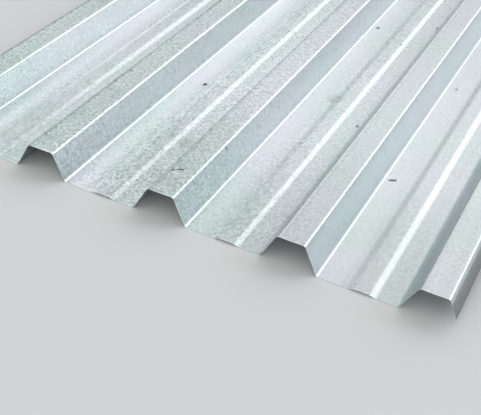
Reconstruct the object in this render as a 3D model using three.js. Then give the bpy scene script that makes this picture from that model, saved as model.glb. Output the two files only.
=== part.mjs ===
// Trapezoidal roofing sheet: one roll-formed sheet of galvanised steel with five ribs and a
// shallow stiffening bead in each pan between them.
//
// Millimetres, +Z up. X runs across the ribs and Y along them. The pans lie on Z = 0, and the
// origin is midway between the two edges and the two ends.
import * as THREE from 'three';

// The sheet
const SHEET_LENGTH = 1800;
const SHEET_THICKNESS = 0.5;

// The ribs. Widths are taken between the sharp corners that the bends round off.
const RIB_COUNT = 5;
const RIB_PITCH = 171.5;
const RIB_HEIGHT = 36.5;
const CROWN_WIDTH = 35;
const WEB_RUN = 18.5;

// The outer web of each edge rib stops short of the pans, at this share of a full web.
const EDGE_LEG_SHARE = 0.62;

// The bead in each pan, with its middle a little off the pan's middle.
const BEAD_HEIGHT = 1.9;
const BEAD_TOP_WIDTH = 17.5;
const BEAD_SLOPE_RUN = 8;
const BEAD_OFFSET = 6.25;

// The bends, by the radius on their hollow side.
const RIB_BEND_RADIUS = 4;
const RIB_BEND_STEPS = 6;
const BEAD_BEND_RADIUS = 14;
const BEAD_BEND_STEPS = 4;

// Heights of the sheet's middle surface.
const PAN_LEVEL = SHEET_THICKNESS / 2;
const CROWN_LEVEL = RIB_HEIGHT - SHEET_THICKNESS / 2;

// A corner of the section's middle line, with the radius and the steps of its bend.
function ribCorner(x, z) {
  return { at: new THREE.Vector2(x, z), radius: RIB_BEND_RADIUS, steps: RIB_BEND_STEPS };
}

function beadCorner(x, z) {
  return { at: new THREE.Vector2(x, z), radius: BEAD_BEND_RADIUS, steps: BEAD_BEND_STEPS };
}

// The cut edge of a rib's outer web. side is -1 at the left edge and 1 at the right.
function legEnd(crownCentre, side) {
  const run = CROWN_WIDTH / 2 + WEB_RUN * EDGE_LEG_SHARE;
  const drop = (CROWN_LEVEL - PAN_LEVEL) * EDGE_LEG_SHARE;
  return { at: new THREE.Vector2(crownCentre + side * run, CROWN_LEVEL - drop) };
}

function crownCorners(crownCentre) {
  return [
    ribCorner(crownCentre - CROWN_WIDTH / 2, CROWN_LEVEL),
    ribCorner(crownCentre + CROWN_WIDTH / 2, CROWN_LEVEL),
  ];
}

// From the foot of one rib's web, over the bead, to the foot of the next rib's web.
function panCorners(panCentre) {
  const panHalf = (RIB_PITCH - CROWN_WIDTH) / 2 - WEB_RUN;
  const beadCentre = panCentre + BEAD_OFFSET;
  const beadTopHalf = BEAD_TOP_WIDTH / 2;
  const beadFootHalf = beadTopHalf + BEAD_SLOPE_RUN;
  return [
    ribCorner(panCentre - panHalf, PAN_LEVEL),
    beadCorner(beadCentre - beadFootHalf, PAN_LEVEL),
    beadCorner(beadCentre - beadTopHalf, PAN_LEVEL + BEAD_HEIGHT),
    beadCorner(beadCentre + beadTopHalf, PAN_LEVEL + BEAD_HEIGHT),
    beadCorner(beadCentre + beadFootHalf, PAN_LEVEL),
    ribCorner(panCentre + panHalf, PAN_LEVEL),
  ];
}

// The corners of the whole section's middle line, from the left edge to the right.
function sectionCorners() {
  const firstCrown = -RIB_PITCH * (RIB_COUNT - 1) / 2;
  const lastCrown = -firstCrown;
  const corners = [legEnd(firstCrown, -1)];
  for (let rib = 0; rib < RIB_COUNT; rib += 1) {
    const crown = firstCrown + rib * RIB_PITCH;
    corners.push(...crownCorners(crown));
    if (rib < RIB_COUNT - 1) {
      corners.push(...panCorners(crown + RIB_PITCH / 2));
    }
  }
  corners.push(legEnd(lastCrown, 1));
  return corners;
}

// The direction a quarter turn to the left: upwards, for a line that runs along +X.
function leftOf(direction) {
  return new THREE.Vector2(-direction.y, direction.x);
}

// The stations of one bend: points of the middle line, each with the sheet's normal there.
function bendStations(before, corner, after) {
  const incoming = corner.at.clone().sub(before.at).normalize();
  const outgoing = after.at.clone().sub(corner.at).normalize();
  const turn = Math.atan2(incoming.cross(outgoing), incoming.dot(outgoing));
  const hand = Math.sign(turn);
  const radius = corner.radius + SHEET_THICKNESS / 2;
  const tangent = radius * Math.tan(Math.abs(turn) / 2);
  const start = corner.at.clone().addScaledVector(incoming, -tangent);
  const centre = start.clone().addScaledVector(leftOf(incoming), hand * radius);
  const origin = new THREE.Vector2();
  const stations = [];
  for (let step = 0; step <= corner.steps; step += 1) {
    const direction = incoming.clone().rotateAround(origin, turn * step / corner.steps);
    const normal = leftOf(direction);
    const point = centre.clone().addScaledVector(normal, -hand * radius);
    stations.push({ point, normal });
  }
  return stations;
}

// A cut edge's only station, square to the web that ends there.
function endStation(end, from, to) {
  const direction = to.at.clone().sub(from.at).normalize();
  return { point: end.at, normal: leftOf(direction) };
}

function sectionStations() {
  const corners = sectionCorners();
  const last = corners.length - 1;
  const stations = [endStation(corners[0], corners[0], corners[1])];
  for (let i = 1; i < last; i += 1) {
    stations.push(...bendStations(corners[i - 1], corners[i], corners[i + 1]));
  }
  stations.push(endStation(corners[last], corners[last - 1], corners[last]));
  return stations;
}

// The outline of the sheet's cut end: along the underside, and back along the top.
function sectionShape() {
  const half = SHEET_THICKNESS / 2;
  const stations = sectionStations();
  const underside = stations.map((s) => s.point.clone().addScaledVector(s.normal, -half));
  const top = stations.map((s) => s.point.clone().addScaledVector(s.normal, half));
  return new THREE.Shape([...underside, ...top.reverse()]);
}

function corrugatedSheet() {
  const geometry = new THREE.ExtrudeGeometry(sectionShape(), {
    depth: SHEET_LENGTH,
    bevelEnabled: false,
  });
  const zinc = new THREE.MeshStandardMaterial({
    color: 0xc3c8d0,
    roughness: 0.38,
    metalness: 0.85,
  });
  const mesh = new THREE.Mesh(geometry, zinc);
  mesh.name = 'corrugated_sheet';
  // The section is drawn in X and Y and extruded along Z, so it is stood up to run along Y.
  mesh.rotation.x = Math.PI / 2;
  mesh.position.y = SHEET_LENGTH / 2;
  return mesh;
}

const part = new THREE.Group();
part.add(corrugatedSheet());

export default part;
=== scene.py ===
"""The looks of one trapezoidal roofing sheet of galvanised steel. Metres, +Z up, ribs along Y."""

import math

import bpy
import numpy as np
from mathutils import Matrix, Vector


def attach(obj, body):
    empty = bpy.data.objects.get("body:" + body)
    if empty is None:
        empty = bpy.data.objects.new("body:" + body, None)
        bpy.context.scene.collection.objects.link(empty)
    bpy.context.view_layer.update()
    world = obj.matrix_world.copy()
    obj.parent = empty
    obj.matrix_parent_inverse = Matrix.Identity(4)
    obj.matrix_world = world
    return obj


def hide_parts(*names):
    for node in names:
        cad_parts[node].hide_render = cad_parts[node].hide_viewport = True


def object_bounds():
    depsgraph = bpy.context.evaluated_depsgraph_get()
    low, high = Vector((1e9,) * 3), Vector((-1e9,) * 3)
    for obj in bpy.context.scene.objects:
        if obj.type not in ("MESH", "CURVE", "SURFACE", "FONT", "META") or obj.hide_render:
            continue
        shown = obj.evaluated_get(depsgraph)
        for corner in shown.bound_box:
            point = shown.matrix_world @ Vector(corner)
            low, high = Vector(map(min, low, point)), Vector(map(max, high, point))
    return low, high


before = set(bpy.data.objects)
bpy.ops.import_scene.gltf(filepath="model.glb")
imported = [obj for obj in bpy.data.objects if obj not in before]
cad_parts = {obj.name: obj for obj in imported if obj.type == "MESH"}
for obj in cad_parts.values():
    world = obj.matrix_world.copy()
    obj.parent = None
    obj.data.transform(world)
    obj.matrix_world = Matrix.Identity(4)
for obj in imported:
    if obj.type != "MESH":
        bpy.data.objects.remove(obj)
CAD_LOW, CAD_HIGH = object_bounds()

MM = 0.001

NODE = "corrugated_sheet"
SHEET_LENGTH = CAD_HIGH.y - CAD_LOW.y
SHEET_TOP = CAD_HIGH.z

# How close a point of the CAD mesh is to the cut end if it lies on it, and to how many decimals of
# a metre two points agree if they are the same.
AT_THE_END = 1e-6
SAME_DECIMALS = 7

# The mesh: how far apart its points may be across the ribs, and how far apart its rows are along
# them. Near a cut end the rows are at END_ROWS from it, and the even ones stop at END_ZONE.
WIDEST_FACE = 7 * MM
ROW_SPACING = 13 * MM
END_ROWS = (0.6 * MM, 1.5 * MM, 3.5 * MM, 7 * MM)
END_ZONE = 9 * MM

# The flats of a rolled sheet are never quite flat. Pans rise and crowns sink by up to WAVE_HEIGHT,
# most along a crest that wanders about the flat's middle by up to CREST_WANDER of its width. What
# counts as a flat tilts by less than FLAT_TILT.
WAVE_HEIGHT = 0.30 * MM
WAVE_LENGTHS = (0.83, 0.41, 0.27, 0.19)
WAVE_SEED = 7
CREST_WANDER = 0.25
FLAT_TILT = math.radians(2)
NARROWEST_WAVY_FLAT = 12 * MM

# The ribs' places, for what the finish and the painted light and shade do beside them.
RIB_PITCH = 171.5 * MM
FIRST_CROWN = -2 * RIB_PITCH
OUTER_LEG = 362 * MM

# Strips along the ribs, in mm to the right of a crown's middle, as (from, to, rise, fall). The coat
# is clean from a right bend to the bead, and the left ribs' left bends carry a broken line of painted
# shade.
CLEAN_STRIP = (19, 58, 3, 22)
SHADED_BEND_STRIP = (152, 157.5, 2, 2)

# Parts of the sheet's width, in mm from its middle, in the same form.
ALL_RIBS = (-400, 400, 10, 10)
LEFT_RIBS = (-400, -110, 10, 90)
LEFTMOST_BEAD = (-262, -205, 15, 8)
MIDDLE_RIB = (-60, 0, 10, 20)
RIGHT_INNER_RIB = (120, 180, 10, 10)
RIGHT_RIBS = (150, 400, 220, 10)
RIGHTMOST_PANS = (200, 400, 60, 10)

# Painted light (+) and painted shade (-) along the ribs. The coat is painted lighter where highlights
# and light bounced off the right webs fall, and darker on the left webs and in the shade beside them.
# Each entry gives its strip and its ribs.
PAINTED_LIGHT_AND_SHADE = (
    {"on": "pan beside the right web", "strip": (37, 47, 6, 28), "ribs": ALL_RIBS, "tone": 0.055},
    {"on": "pan up to the bead", "strip": (38, 60, 3, 12), "ribs": (-160, -100, 50, 60), "tone": 0.08},
    {"on": "pan's edge at that web", "strip": (38.5, 41, 2, 7), "ribs": LEFT_RIBS, "tone": 0.08},
    {"on": "bead's left slope", "strip": (75, 81, 3, 3), "ribs": (-400, -240, 10, 20), "tone": -0.05},
    {"on": "bead's left slope", "strip": (75, 81, 3, 3), "ribs": (-150, -60, 60, 40), "tone": 0.11},
    {"on": "bead's left slope", "strip": (75, 80, 3, 3), "ribs": RIGHTMOST_PANS, "tone": -0.10},
    {"on": "bead's shoulder", "strip": (103, 107, 3, 2.5), "ribs": (-400, -50, 10, 300), "tone": 0.30},
    {"on": "pan beyond the bead", "strip": (112, 131, 6, 3), "ribs": (-400, -20, 10, 40), "tone": 0.05},
    {"on": "pan beside the left web", "strip": (124, 131, 6, 3), "ribs": (110, 400, 40, 10), "tone": -0.04},
    {"on": "foot of the left web", "strip": (135, 138, 1, 7), "ribs": RIGHTMOST_PANS, "tone": 0.15},
    {"on": "left web", "strip": (150, 154, 14, 3), "ribs": (110, 400, 60, 10), "tone": -0.22},
    {"on": "left bend", "strip": (152, 155.5, 2, 1), "ribs": MIDDLE_RIB, "tone": 0.07},
    {"on": "crown's left edge", "strip": (157, 160, 1, 1.5), "ribs": MIDDLE_RIB, "tone": -0.09},
    {"on": "left bend", "strip": (153.5, 157, 1, 2), "ribs": RIGHT_INNER_RIB, "tone": 0.14},
    {"on": "lower left web", "strip": (136, 144, 1, 6), "ribs": RIGHT_INNER_RIB, "tone": 0.23},
    {"on": "upper left web", "strip": (147, 153, 3, 0.5), "ribs": RIGHT_INNER_RIB, "tone": -0.09},
    {"on": "pan at that web", "strip": (130, 134.5, 4, 1.5), "ribs": RIGHT_INNER_RIB, "tone": -0.05},
    {"on": "crown's left edge", "strip": (158, 161, 1.5, 3), "ribs": RIGHT_INNER_RIB, "tone": -0.05},
    {"on": "right web", "strip": (20, 34, 1, 1), "ribs": (0, 60, 90, 60), "tone": 0.055},
    {"on": "right web", "strip": (20, 34, 1, 1), "ribs": (-326, -306, 3, 3), "tone": 0.14},
    {"on": "top of the right web", "strip": (19.5, 20.5, 1, 12), "ribs": RIGHT_RIBS, "tone": 0.16},
    {"on": "right web at its foot", "strip": (33, 34.5, 1, 1), "ribs": ALL_RIBS, "tone": -0.09},
)

# Zinc that has dulled a little: its two tints, which drift into each other, the tint of a dirty
# film over them, and the colour of dark marks.
LILAC_ZINC = (0.652, 0.684, 0.722, 1)
GREEN_ZINC = (0.608, 0.684, 0.684, 1)
FILM_TINT = (0.90, 0.94, 0.90, 1)
SPECK_COLOUR = (0.10, 0.11, 0.11, 1)

# The places between which each zone of the coat fades: from the dirty left side to the right, from
# the handled front, which also carries painted shade, to the back, from the peppered front to the
# back, down the top of the outer legs, which are painted in shade, and away from a cut end, along
# which a painted highlight runs. Some dirt is left at the right, and some pepper at the back.
LEFT_FADE = (-0.05, 0.25)
FRONT_FADE = (CAD_LOW.y + 0.05, CAD_LOW.y + 0.35)
PEPPERED_FADE = (CAD_LOW.y + 0.20, CAD_LOW.y + 0.70)
LEG_FADE = (OUTER_LEG, OUTER_LEG + 3 * MM)
RIM_FADE = (0.3 * MM, 1.6 * MM)
DIRT_AT_THE_RIGHT = 0.15
PEPPER_AT_THE_BACK = 0.45

# The coat's patterns, in cycles to the metre: along every axis alike, or along (x, y, z).
GRAIN_CYCLES = (250, 180, 250)
STREAK_CYCLES = (230, 2.2, 230)
LINE_CYCLES = (90, 26, 90)
TINT_CYCLES = (9, 6, 9)
CLOUD_CYCLES = 16
PATCH_CYCLES = 24
FILM_CYCLES = 28
SPANGLE_CYCLES = 150

# How a pattern's level becomes a share, as (from, to) or (from, to, lowest share, highest share).
PATCH_LEVELS = (0.32, 0.68, 0.70, 1.30)
LINE_LEVELS = (0.30, 0.62, 0.25, 1.0)
TINT_LEVELS = (0.35, 0.65)
FILM_LEVELS = (0.30, 0.70)

# How strong the mottle is: a base, and how much more or less of it there is in each zone.
MOTTLE_BASE = 0.26
MOTTLE_WEIGHTS = {"soiled": 0.68, "left": 0.14, "handled": 0.35, "leftmost bead": -0.42}

# How much each pattern adds to the coat's brightness, to its roughness and to its relief. In the
# brightness, the broken line on the left bends, the outer legs and the front are painted shade, and
# the lighter rim at the cut ends is a painted highlight.
TONE_BASE = 0.875
TONE_WEIGHTS = {"mottle": 1.7, "cloud": 0.08, "streak": 0.11, "spangle": 0.03, "line": -0.24,
                "painted leg shade": -0.61, "rim": 0.14, "front": -0.03, "painted front shade": -0.08}
ROUGHNESS_BASE = 0.255
ROUGHNESS_WEIGHTS = {"mottle": 0.15, "cloud": 0.06, "spangle": 0.05, "film": 0.05, "marks": 0.25,
                     "rim": -0.12}
RELIEF_WEIGHTS = {"grain": 1.0, "streak": 0.5}
RELIEF_STRENGTH = 0.25
RELIEF_HEIGHT = 0.15 * MM

# Marks on the sheet: the place (x, y) of each, its radius, and how dark it is.
SPECKS = (
    ((-105.5 * MM, -581.2 * MM), 4.2 * MM, 1.00),
    ((46.4 * MM, -241.5 * MM), 4.5 * MM, 0.75),
    ((133.2 * MM, -180.5 * MM), 4.5 * MM, 0.60),
    ((222.2 * MM, -371.5 * MM), 3.2 * MM, 0.55),
    ((216.0 * MM, -666.6 * MM), 2.2 * MM, 0.80),
    ((219.0 * MM, -664.6 * MM), 3.0 * MM, 0.95),
    ((222.4 * MM, -662.3 * MM), 2.6 * MM, 0.95),
    ((100.1 * MM, -280.9 * MM), 3.0 * MM, 0.45),
    ((130.2 * MM, -563.0 * MM), 3.2 * MM, 0.70),
    ((-184.3 * MM, -664.5 * MM), 2.8 * MM, 0.50),
    ((19.5 * MM, -762.5 * MM), 2.2 * MM, 0.60),
    ((73.2 * MM, -514.0 * MM), 6.0 * MM, 0.30),
    ((77.2 * MM, -502.0 * MM), 6.0 * MM, 0.26),
    ((75.5 * MM, -509.3 * MM), 14.0 * MM, 0.16),
    ((-53.2 * MM, -736.3 * MM), 13.0 * MM, 0.13),
)

# A speck fades between two shares of its radius. It is longer along the ribs, since a distance
# that way counts for less, and its rim is frayed over FRAY_WIDTH.
SPECK_FADE = (0.35, 1.15)
SPECK_LENGTHWISE = 0.8
FRAY_CYCLES = 240
FRAY_WIDTH = 5 * MM

# One scratch, across a crown: its ends, how far from its line and its ends it fades, and its dashes.
SCRATCH_START = Vector((-13.0 * MM, -849.6 * MM, 36.5 * MM))
SCRATCH_END = Vector((3.2 * MM, -838.9 * MM, 36.5 * MM))
SCRATCH_FADE = (0.7 * MM, 2.2 * MM)
SCRATCH_END_FADE = 1 * MM
DASH_CYCLES = 160
DASH_LEVELS = (0.42, 0.52, 0.15, 0.9)

# Fine specks of dirt, one to a cell. Each fades between two shares of its cell's size, and shows if
# its cell's random number is over the limit, by up to PEPPER_DARKEST.
PEPPER_CYCLES = 85
PEPPER_SIZE = (0.04, 0.16)
PEPPER_LIMIT = 0.55
PEPPER_DARKEST = 0.42

# The studio's light: an even dome, broad glows in it, and one soft lamp. Azimuth 0 is behind the
# sheet, and 90 is to its right. A glow halves at its half-angle.
DOME_COLOUR = (0.19, 0.23, 0.22)
GLOWS = (
    {"azimuth": -43, "elevation": 35, "half_angle": 9, "colour": (1.37, 1.37, 1.36)},
    {"azimuth": -20, "elevation": 30, "half_angle": 7, "colour": (0.96, 0.92, 0.97)},
    {"azimuth": 21, "elevation": 33, "half_angle": 20, "colour": (2.17, 2.06, 2.08)},
    {"azimuth": 52, "elevation": 12, "half_angle": 10, "colour": (0.53, 0.565, 0.61)},
    {"azimuth": 190, "elevation": 25, "half_angle": 50, "colour": (1.08, 1.08, 1.07)},
    {"azimuth": 110, "elevation": 25, "half_angle": 20, "colour": (0.40, 0.40, 0.40)},
    {"azimuth": -112, "elevation": 25, "half_angle": 20, "colour": (0.40, 0.40, 0.40)},
)
LAMP = {"azimuth": 56, "elevation": 31, "width": 16, "energy": 0.35, "colour": (0.77, 0.84, 1)}

FLOOR_COLOUR = (0.70, 0.70, 0.70, 1)
FLOOR_ROUGHNESS = 0.9
FLOOR_REACH = 40.0

# The camera, in the sheet's frame.
IMAGE_WIDTH_PX = 481
FOCAL_PX = 986.7
SENSOR_WIDTH_MM = 36
CAMERA_PLACE = Vector((0.4557, -1.7397, 0.7247))
CAMERA_TURN = math.radians(22.65)
CAMERA_PITCH = math.radians(36.25)
CAMERA_ROLL = math.radians(6.07)
CAMERA_CLIP = (0.05, 60)


# ---------------------------------------------------------------- the sheet's mesh

def end_outline(mesh, y_end):
    """The (x, z) points round the sheet's cut end: over it from the left, and back under it."""
    points = np.empty(len(mesh.vertices) * 3)
    mesh.vertices.foreach_get("co", points)
    points = points.reshape(-1, 3)
    beside = {}
    for face in mesh.polygons:
        at_end = [tuple(np.round(points[v][[0, 2]], SAME_DECIMALS)) for v in face.vertices
                  if abs(points[v][1] - y_end) < AT_THE_END]
        # A side face with two points at the end has one edge of the outline.
        if len(at_end) == 2:
            a, b = at_end
            beside.setdefault(a, set()).add(b)
            beside.setdefault(b, set()).add(a)
    start = min(beside)
    walk = [start, max(beside[start], key=lambda p: math.dist(p, start))]
    while walk[-1] != start:
        walk += [p for p in beside[walk[-1]] if p != walk[-2]]
    return np.array(walk[:-1])


def sheet_stations(outline):
    """The sheet's middle line, and half its thickness as a vector, at each station across it."""
    half = len(outline) // 2
    over, under = outline[:half], outline[half:][::-1]
    over_points, under_points = [over[0]], [under[0]]
    for i in range(1, half):
        count = max(1, math.ceil(math.dist(over[i - 1], over[i]) / WIDEST_FACE))
        for step in range(1, count + 1):
            share = step / count
            over_points.append(over[i - 1] + (over[i] - over[i - 1]) * share)
            under_points.append(under[i - 1] + (under[i] - under[i - 1]) * share)
    over_points, under_points = np.array(over_points), np.array(under_points)
    return (over_points + under_points) / 2, (over_points - under_points) / 2


def row_places():
    """Where the mesh's rows are along Y, closer together at the cut ends."""
    half = SHEET_LENGTH / 2
    count = round(SHEET_LENGTH / ROW_SPACING)
    inner = np.linspace(-half, half, count + 1)[1:-1]
    ends = np.array([0.0, *END_ROWS])
    return np.concatenate([ends - half, inner[abs(inner) < half - END_ZONE], half - ends[::-1]])


def flats_across(middle, facing):
    """The runs of stations on each level strip of the sheet, as (first, last) pairs."""
    level = facing[:, 1] > math.cos(FLAT_TILT)
    runs, first = [], None
    for i, flat in enumerate([*level, False]):
        if flat and first is None:
            first = i
        elif not flat and first is not None:
            if middle[i - 1][0] - middle[first][0] > NARROWEST_WAVY_FLAT:
                runs.append((first, i))
            first = None
    return runs


def wander(rows, random):
    """A smooth random course along the sheet, between -1 and 1."""
    waves = [np.sin(2 * math.pi * (rows / length + random.random())) for length in WAVE_LENGTHS]
    return sum(waves) / len(waves)


def waviness(middle, facing, rows):
    """How far each point of the mesh rises, so that the flats are as uneven as rolled sheet is."""
    random = np.random.default_rng(WAVE_SEED)
    rise = np.zeros((len(rows), len(middle)))
    for first, last in flats_across(middle, facing):
        x = middle[first:last, 0]
        share = (x - x[0]) / (x[-1] - x[0])
        sign = -1 if middle[first, 1] > SHEET_TOP / 2 else 1
        depth = 0.5 + 0.5 * wander(rows, random)
        crest = 0.5 + CREST_WANDER * wander(rows, random)
        bent_share = share[None, :] ** (math.log(0.5) / np.log(crest[:, None]))
        rise[:, first:last] = sign * WAVE_HEIGHT * depth[:, None] * np.sin(math.pi * bent_share) ** 2
    return rise


def side_points(places, rows, rise):
    """The points of one broad side of the sheet, row by row."""
    points = np.empty((*rise.shape, 3))
    points[:, :, 0] = places[:, 0]
    points[:, :, 1] = rows[:, None]
    points[:, :, 2] = places[:, 1] + rise
    return points.reshape(-1, 3)


def sheet_faces(row_count, station_count):
    """The mesh's faces, each by its four points: first the two broad sides, then the cut edges."""
    over, under = np.arange(2 * row_count * station_count).reshape(2, row_count, station_count)
    sides = (
        (over[:-1, :-1], over[:-1, 1:], over[1:, 1:], over[1:, :-1]),
        (under[:-1, :-1], under[1:, :-1], under[1:, 1:], under[:-1, 1:]),
        (under[0, :-1], under[0, 1:], over[0, 1:], over[0, :-1]),
        (over[-1, :-1], over[-1, 1:], under[-1, 1:], under[-1, :-1]),
        (under[:-1, 0], over[:-1, 0], over[1:, 0], under[1:, 0]),
        (over[:-1, -1], under[:-1, -1], under[1:, -1], over[1:, -1]),
    )
    return np.concatenate([np.stack([corner.ravel() for corner in side], 1) for side in sides])


def surface_normals(middle, facing, rows, rise):
    """The upper side's normal at each point: the bends' exact ones, leaned by the unevenness."""
    travel = np.concatenate([[0], np.cumsum(np.linalg.norm(np.diff(middle, axis=0), axis=1))])
    normals = np.empty((*rise.shape, 3))
    normals[:, :, 0] = facing[:, 0] - np.gradient(rise, travel, axis=1)
    normals[:, :, 1] = -np.gradient(rise, rows, axis=0)
    normals[:, :, 2] = facing[:, 1]
    return normals / np.linalg.norm(normals, axis=2, keepdims=True)


def set_normals(mesh, upper):
    """Gives the broad sides these smooth normals, and the cut edges their own flat ones."""
    row_count, station_count = upper.shape[:2]
    smooth = np.concatenate([upper.reshape(-1, 3), -upper.reshape(-1, 3)])
    corners = np.empty(len(mesh.loops), dtype=int)
    mesh.loops.foreach_get("vertex_index", corners)
    normals = smooth[corners]
    broad = 2 * (row_count - 1) * (station_count - 1)
    flat = np.empty(len(mesh.polygons) * 3)
    mesh.polygons.foreach_get("normal", flat)
    normals[broad * 4:] = np.repeat(flat.reshape(-1, 3)[broad:], 4, axis=0)
    mesh.normals_split_custom_set(normals.tolist())


def detailed_sheet():
    """The sheet at a fine pitch, with its exact bends, its uneven flats and each point's normal."""
    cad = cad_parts[NODE]
    middle, half = sheet_stations(end_outline(cad.data, CAD_LOW.y))
    facing = half / np.linalg.norm(half, axis=1, keepdims=True)
    rows = row_places()
    rise = waviness(middle, facing, rows)
    upper = side_points(middle + half, rows, rise)
    lower = side_points(middle - half, rows, rise)
    faces = sheet_faces(len(rows), len(middle))

    mesh = bpy.data.meshes.new("galvanised_sheet")
    mesh.from_pydata([*upper.tolist(), *lower.tolist()], [], faces.tolist())
    mesh.update()
    mesh.shade_smooth()
    set_normals(mesh, surface_normals(middle, facing, rows, rise))
    sheet = bpy.data.objects.new("galvanised_sheet", mesh)
    bpy.context.collection.objects.link(sheet)
    return sheet


# ---------------------------------------------------------------- nodes

def put(tree, kind, inputs=None, **settings):
    """Adds a shader node. An input that is a socket is linked, and any other is set."""
    node = tree.nodes.new("ShaderNode" + kind)
    for key, value in settings.items():
        setattr(node, key, value)
    for key, value in (inputs or {}).items():
        if isinstance(value, bpy.types.NodeSocket):
            tree.links.new(value, node.inputs[key])
        else:
            node.inputs[key].default_value = value
    return node


def calc(tree, operation, *values):
    """One step of arithmetic, on numbers."""
    return put(tree, "Math", dict(enumerate(values)), operation=operation).outputs[0]


def vector_calc(tree, operation, *values, out="Vector"):
    """One step of arithmetic, on vectors."""
    return put(tree, "VectorMath", dict(enumerate(values)), operation=operation).outputs[out]


def product(tree, first, *others):
    """The product of some sockets."""
    result = first
    for value in others:
        result = calc(tree, "MULTIPLY", result, value)
    return result


def total(tree, base, terms):
    """The sum of a number and of some sockets, each times its weight."""
    result = base
    for socket, weight in terms:
        result = calc(tree, "MULTIPLY_ADD", socket, weight, result)
    return result


def weighted(sockets, weights):
    """The sockets that the weights name, each with its weight."""
    return [(sockets[name], weight) for name, weight in weights.items()]


def ramp(tree, value, low, high, to_low=0.0, to_high=1.0):
    """Maps low..high smoothly to to_low..to_high, held at the ends."""
    inputs = {"Value": value, "From Min": low, "From Max": high, "To Min": to_low, "To Max": to_high}
    return put(tree, "MapRange", inputs, interpolation_type="SMOOTHSTEP").outputs["Result"]


def band(tree, value, strip):
    """A mask of 1 on a strip, which rises before it and falls after it. The strip is in mm."""
    low, high, rise, fall = (size * MM for size in strip)
    after = ramp(tree, value, low - rise, low)
    before = ramp(tree, value, high, high + fall, 1.0, 0.0)
    return calc(tree, "MULTIPLY", after, before)


def noise(tree, place, cycles, detail=2.0, roughness=0.5):
    """Noise from 0 to 1, with so many cycles to the metre, or so many along each axis."""
    if isinstance(cycles, tuple):
        place, cycles = vector_calc(tree, "MULTIPLY", place, cycles), 1.0
    inputs = {"Vector": place, "Scale": cycles, "Detail": detail, "Roughness": roughness}
    return put(tree, "TexNoise", inputs).outputs["Fac"]


def blend(tree, share, low, high, kind="MIX"):
    """Mixes two colours by a share, or multiplies the first by the second."""
    # A Mix node's colours are its inputs 6 and 7, and its output 2.
    node = put(tree, "Mix", data_type="RGBA", blend_type=kind)
    for socket, value in ((node.inputs[0], share), (node.inputs[6], low), (node.inputs[7], high)):
        if isinstance(value, bpy.types.NodeSocket):
            tree.links.new(value, socket)
        else:
            socket.default_value = value
    return node.outputs[2]


# ---------------------------------------------------------------- materials

def new_material(name):
    """A material with its shader."""
    material = bpy.data.materials.new(name)
    material.use_nodes = True
    return material, material.node_tree.nodes["Principled BSDF"]


def speck_mask(tree, place):
    """The dark specks, with ragged rims, as one mask from 0 to 1."""
    fray = put(tree, "TexNoise", {"Vector": place, "Scale": FRAY_CYCLES, "Detail": 2.0}).outputs["Color"]
    shift = vector_calc(tree, "SUBTRACT", fray, (0.5, 0.5, 0.5))
    ragged = vector_calc(tree, "MULTIPLY_ADD", shift, (FRAY_WIDTH, FRAY_WIDTH, 0), place)
    flat = vector_calc(tree, "MULTIPLY", ragged, (1, SPECK_LENGTHWISE, 0))
    mask = None
    for (x, y), radius, darkness in SPECKS:
        away = vector_calc(tree, "DISTANCE", flat, (x, y * SPECK_LENGTHWISE, 0), out="Value")
        core, rim = (radius * share for share in SPECK_FADE)
        speck = ramp(tree, away, core, rim, darkness, 0.0)
        mask = speck if mask is None else calc(tree, "MAXIMUM", mask, speck)
    return mask


def scratch_mask(tree, place):
    """A short scratch in dark dashes across a crown."""
    reach = SCRATCH_END - SCRATCH_START
    half = reach.length / 2
    along, side = reach.normalized(), Vector((0, 0, 1)).cross(reach).normalized()
    offset = vector_calc(tree, "SUBTRACT", place, SCRATCH_START)
    run = vector_calc(tree, "DOT_PRODUCT", offset, along, out="Value")
    off = vector_calc(tree, "DOT_PRODUCT", offset, side, out="Value")
    near = ramp(tree, calc(tree, "ABSOLUTE", off), *SCRATCH_FADE, 1.0, 0.0)
    from_middle = calc(tree, "ABSOLUTE", calc(tree, "SUBTRACT", run, half))
    within = ramp(tree, from_middle, half - SCRATCH_END_FADE, half + SCRATCH_END_FADE, 1.0, 0.0)
    dashes = ramp(tree, noise(tree, place, DASH_CYCLES, detail=1.0), *DASH_LEVELS)
    return product(tree, near, within, dashes)


def pepper_mask(tree, place, amount):
    """Fine specks of dirt, one to a cell, of which most are too faint to see."""
    cells = put(tree, "TexVoronoi", {"Vector": place, "Scale": PEPPER_CYCLES}).outputs
    chance = put(tree, "SeparateColor", {0: cells["Color"]}).outputs["Green"]
    near = ramp(tree, cells["Distance"], *PEPPER_SIZE, 1.0, 0.0)
    return product(tree, near, amount, ramp(tree, chance, PEPPER_LIMIT, 1.0, 0.0, PEPPER_DARKEST))


def painted_shading_strips(tree, across, x):
    """A mask and its weight for each strip of painted light or painted shade."""
    terms = []
    for tone in PAINTED_LIGHT_AND_SHADE:
        mask = band(tree, across, tone["strip"])
        if tone["ribs"] != ALL_RIBS:
            mask = product(tree, mask, band(tree, x, tone["ribs"]))
        terms.append((mask, tone["tone"]))
    return terms


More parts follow.
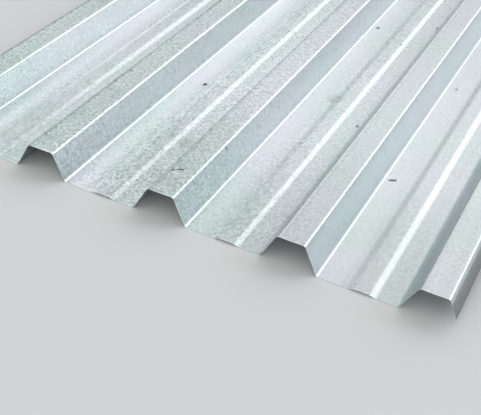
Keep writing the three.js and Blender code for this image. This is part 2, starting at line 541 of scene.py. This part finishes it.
def coat_zones(tree, across, x, y):
    """Masks for the parts of the sheet where the coat differs, or where light or shade is painted on it."""
    left = ramp(tree, x, *LEFT_FADE, 1.0, 0.0)
    front = ramp(tree, y, *FRONT_FADE, 1.0, 0.0)
    clean = band(tree, across, CLEAN_STRIP)
    dull = calc(tree, "SUBTRACT", 1.0, clean)
    dirt = total(tree, DIRT_AT_THE_RIGHT, [(left, 1 - DIRT_AT_THE_RIGHT)])
    from_end = calc(tree, "SUBTRACT", SHEET_LENGTH / 2, calc(tree, "ABSOLUTE", y))
    # All but the clean strips is soiled. Those strips are handled at the front left.
    return {
        "left": left,
        "front": front,
        # Painted shade: the coat is darker towards the front end, off the clean strips.
        "painted front shade": product(tree, front, dull),
        "soiled": product(tree, dull, dirt),
        "handled": product(tree, clean, left, front),
        "leftmost bead": band(tree, x, LEFTMOST_BEAD),
        # A broken line of painted shade along the left ribs' left bends.
        "left bends": product(tree, band(tree, across, SHADED_BEND_STRIP), band(tree, x, LEFT_RIBS)),
        # Painted shade on the tops of the outer legs.
        "painted leg shade": ramp(tree, calc(tree, "ABSOLUTE", x), *LEG_FADE),
        # A painted highlight along the cut ends, where the coat is also smoother.
        "rim": ramp(tree, from_end, *RIM_FADE, 1.0, 0.0),
        "peppered": ramp(tree, y, *PEPPERED_FADE, 1.0, PEPPER_AT_THE_BACK),
    }


def coat_patterns(tree, place, zones):
    """The coat's grain, clouds, streaks, spangle, stains and the broken line of painted shade on the left
    bends, each in the zones where it shows.
    """
    grain = noise(tree, place, GRAIN_CYCLES, detail=3.0, roughness=0.75)
    patchy = ramp(tree, noise(tree, place, PATCH_CYCLES), *PATCH_LEVELS)
    strength = total(tree, MOTTLE_BASE, weighted(zones, MOTTLE_WEIGHTS))
    crystals = put(tree, "TexVoronoi", {"Vector": place, "Scale": SPANGLE_CYCLES}).outputs["Color"]
    broken = ramp(tree, noise(tree, place, LINE_CYCLES), *LINE_LEVELS)
    stains = ramp(tree, noise(tree, place, FILM_CYCLES, detail=3.0), *FILM_LEVELS)
    return {
        "grain": grain,
        "mottle": product(tree, calc(tree, "SUBTRACT", grain, 0.5), strength, patchy),
        "cloud": noise(tree, place, CLOUD_CYCLES),
        "streak": noise(tree, place, STREAK_CYCLES),
        "spangle": put(tree, "SeparateColor", {0: crystals}).outputs["Red"],
        "line": product(tree, zones["left bends"], broken),
        "film": product(tree, zones["front"], zones["soiled"], stains),
    }


def zinc():
    """Galvanised steel: a mottled, faintly spangled coat with roll streaks, stains and specks, and with
    painted light and shade along the ribs.
    """
    material, shader = new_material("dulled_zinc")
    tree = material.node_tree
    place = put(tree, "TexCoord").outputs["Object"]
    axes = put(tree, "SeparateXYZ", {0: place}).outputs
    across = calc(tree, "FLOORED_MODULO", calc(tree, "SUBTRACT", axes["X"], FIRST_CROWN), RIB_PITCH)
    coat = coat_zones(tree, across, axes["X"], axes["Y"])
    coat.update(coat_patterns(tree, place, coat))

    pepper = pepper_mask(tree, place, calc(tree, "MULTIPLY", coat["soiled"], coat["peppered"]))
    marks = calc(tree, "MAXIMUM", speck_mask(tree, place), scratch_mask(tree, place))
    coat["marks"] = calc(tree, "MAXIMUM", marks, pepper)

    drift = ramp(tree, noise(tree, place, TINT_CYCLES), *TINT_LEVELS)
    colour = blend(tree, drift, GREEN_ZINC, LILAC_ZINC)
    colour = blend(tree, coat["film"], colour, blend(tree, 1.0, colour, FILM_TINT, "MULTIPLY"))
    # The brightness: the coat's patterns, its painted shade and painted highlight, and the strips of
    # painted light and shade along the ribs.
    terms = [*weighted(coat, TONE_WEIGHTS), *painted_shading_strips(tree, across, axes["X"])]
    tone = total(tree, TONE_BASE, terms)
    toned = put(tree, "VectorMath", {0: colour, 3: tone}, operation="SCALE").outputs["Vector"]
    tree.links.new(blend(tree, coat["marks"], toned, SPECK_COLOUR), shader.inputs["Base Color"])

    roughness = total(tree, ROUGHNESS_BASE, weighted(coat, ROUGHNESS_WEIGHTS))
    tree.links.new(roughness, shader.inputs["Roughness"])

    relief = total(tree, 0.0, weighted(coat, RELIEF_WEIGHTS))
    inputs = {"Height": relief, "Strength": RELIEF_STRENGTH, "Distance": RELIEF_HEIGHT}
    tree.links.new(put(tree, "Bump", inputs).outputs["Normal"], shader.inputs["Normal"])
    shader.inputs["Metallic"].default_value = 1.0
    return material


def floor_paint():
    """Plain pale paint."""
    material, shader = new_material("pale_floor")
    shader.inputs["Base Color"].default_value = FLOOR_COLOUR
    shader.inputs["Roughness"].default_value = FLOOR_ROUGHNESS
    return material


# ---------------------------------------------------------------- studio

def add_floor():
    """A plain floor, as large as any view needs."""
    low, high = -FLOOR_REACH, FLOOR_REACH
    corners = [(low, low, 0), (high, low, 0), (high, high, 0), (low, high, 0)]
    mesh = bpy.data.meshes.new("floor")
    mesh.from_pydata(corners, [], [(0, 1, 2, 3)])
    mesh.materials.append(floor_paint())
    floor = bpy.data.objects.new("floor", mesh)
    bpy.context.collection.objects.link(floor)


def toward(azimuth, elevation):
    """The direction of a light. Azimuth 0 is behind the sheet, and 90 is to its right."""
    a, e = math.radians(azimuth), math.radians(elevation)
    return Vector((math.sin(a) * math.cos(e), math.cos(a) * math.cos(e), math.sin(e)))


def add_lamp():
    """One far lamp, wide enough for soft shadows."""
    data = bpy.data.lights.new("soft_lamp", "SUN")
    data.angle = math.radians(LAMP["width"])
    data.energy = LAMP["energy"]
    data.color = LAMP["colour"]
    light = bpy.data.objects.new("soft_lamp", data)
    light.rotation_mode = "QUATERNION"
    light.rotation_quaternion = toward(LAMP["azimuth"], LAMP["elevation"]).to_track_quat("Z", "Y")
    bpy.context.collection.objects.link(light)


def add_dome():
    """The light all round: an even dome with its glows."""
    world = bpy.data.worlds.new("studio")
    world.use_nodes = True
    tree = world.node_tree
    direction = put(tree, "TexCoord").outputs["Generated"]
    radiance = DOME_COLOUR
    for glow in GLOWS:
        aim = toward(glow["azimuth"], glow["elevation"])
        along = vector_calc(tree, "DOT_PRODUCT", direction, aim, out="Value")
        fall = math.log(2) / (1 - math.cos(math.radians(glow["half_angle"])))
        fade = calc(tree, "EXPONENT", calc(tree, "MULTIPLY_ADD", along, fall, -fall))
        radiance = vector_calc(tree, "MULTIPLY_ADD", glow["colour"], fade, radiance)
    tree.links.new(radiance, tree.nodes["Background"].inputs["Color"])
    bpy.context.scene.world = world


def add_camera():
    """The camera, where the photograph's was."""
    data = bpy.data.cameras.new("camera")
    data.sensor_width = SENSOR_WIDTH_MM
    data.lens = FOCAL_PX / IMAGE_WIDTH_PX * SENSOR_WIDTH_MM
    data.clip_start, data.clip_end = CAMERA_CLIP
    camera = bpy.data.objects.new("camera", data)
    turn = (Matrix.Rotation(CAMERA_TURN, 4, "Z")
            @ Matrix.Rotation(math.pi / 2 - CAMERA_PITCH, 4, "X")
            @ Matrix.Rotation(CAMERA_ROLL, 4, "Z"))
    camera.matrix_world = Matrix.Translation(CAMERA_PLACE) @ turn
    bpy.context.collection.objects.link(camera)
    bpy.context.scene.camera = camera


sheet = detailed_sheet()
sheet.data.materials.append(zinc())
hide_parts(NODE)
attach(sheet, "root")

add_floor()
add_dome()
add_lamp()
add_camera()
bpy.context.scene.view_settings.view_transform = "Standard"
